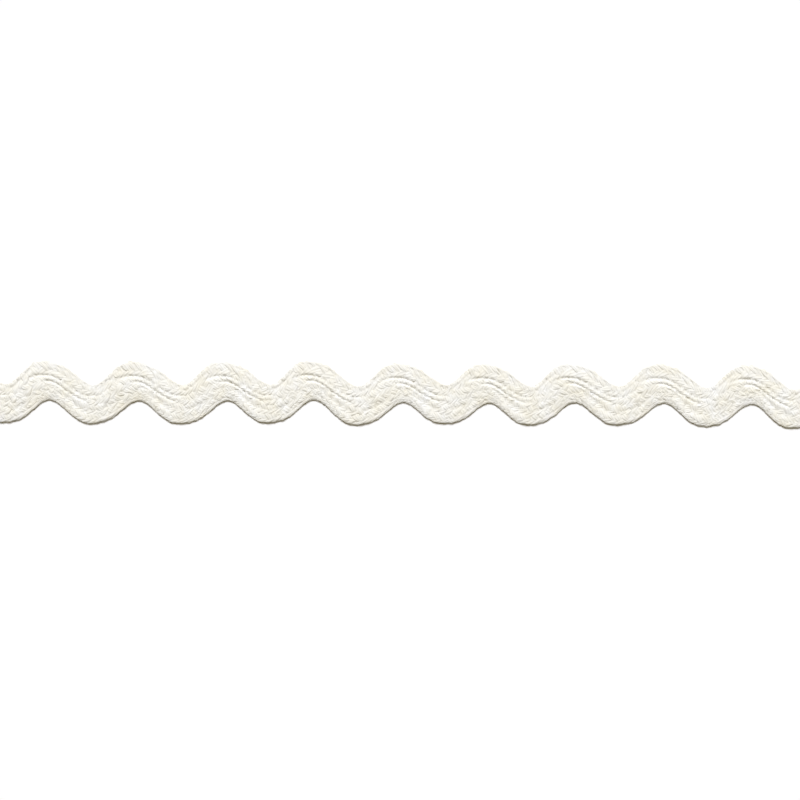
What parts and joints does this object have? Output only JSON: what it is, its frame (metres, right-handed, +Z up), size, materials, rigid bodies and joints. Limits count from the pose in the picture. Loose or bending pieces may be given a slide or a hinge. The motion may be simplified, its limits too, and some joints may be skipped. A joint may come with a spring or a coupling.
{
  "type": "cut length of ric rac",
  "caption": "Narrow flat braided trim that runs in even waves, a straight cut length lying flat, with a ribbed cream face and scalloped edges.",
  "frame": {"origin": "middle of the outline, on the flat underside that the braid lies on", "axes": "+X along the length, +Y across it, +Z up out of the face"},
  "size_m": [0.205, 0.0144, 0.0011],
  "materials": {
    "braid_yarn": "soft matt braided yarn, cream"
  },
  "bodies": {
    "root": {"ric_rac": "braid_yarn"}
  },
  "joints": []
}
